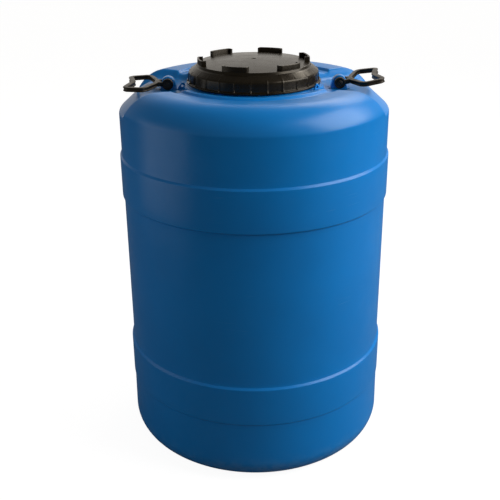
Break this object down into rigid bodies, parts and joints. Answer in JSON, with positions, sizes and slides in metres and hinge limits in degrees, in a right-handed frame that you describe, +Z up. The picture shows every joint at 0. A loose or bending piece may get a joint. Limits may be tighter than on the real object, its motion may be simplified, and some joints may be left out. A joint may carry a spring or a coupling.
{
  "type": "plastic drum",
  "caption": "Wide-mouth plastic drum with hooped cylindrical body, ribbed screw lid with spanner lugs, and two hinged carrying handles in shoulder pockets.",
  "frame": {"origin": "centre of the base, on the plane the drum stands on", "axes": "+Z up along the drum's axis, the two handles on +X and -X, -Y towards the viewer"},
  "size_m": [0.3815, 0.3816, 0.569],
  "materials": {
    "body_plastic": "satin blow-moulded polyethylene, light scuffs",
    "lid_plastic": "satin injection-moulded, fine grain",
    "gasket_foam": "soft matt sealing ring",
    "handle_plastic": "satin injection-moulded",
    "pin_plastic": "satin injection-moulded"
  },
  "bodies": {
    "drum": {"drum_body": "body_plastic", "handle_pin_left": "pin_plastic", "handle_pin_right": "pin_plastic"},
    "seal": {"lid_gasket": "gasket_foam"},
    "lid": {"screw_lid": "lid_plastic"},
    "left_handle": {"handle_left": "handle_plastic"},
    "right_handle": {"handle_right": "handle_plastic"}
  },
  "joints": [
    {"name": "lid_lift", "type": "slide", "parent": "drum", "child": "seal", "axis": [0, 0, 1], "range_m": [0, 0.0166]},
    {"name": "lid_turn", "type": "hinge", "parent": "seal", "child": "lid", "pos_m": [0, 0, 0.5515], "axis": [0, 0, 1], "range_deg": [0, 990]},
    {"name": "left_handle_hinge", "type": "hinge", "parent": "drum", "child": "left_handle", "pos_m": [-0.1185, 0, 0.534], "axis": [0, 1, 0], "range_deg": [-4.4, 108.2]},
    {"name": "right_handle_hinge", "type": "hinge", "parent": "drum", "child": "right_handle", "pos_m": [0.1185, 0, 0.534], "axis": [0, -1, 0], "range_deg": [-13.5, 99.1]}
  ],
  "couplings": [
    {"joint": "lid_lift", "follows": "lid_turn", "m_per_rad": 0.00095493}
  ]
}
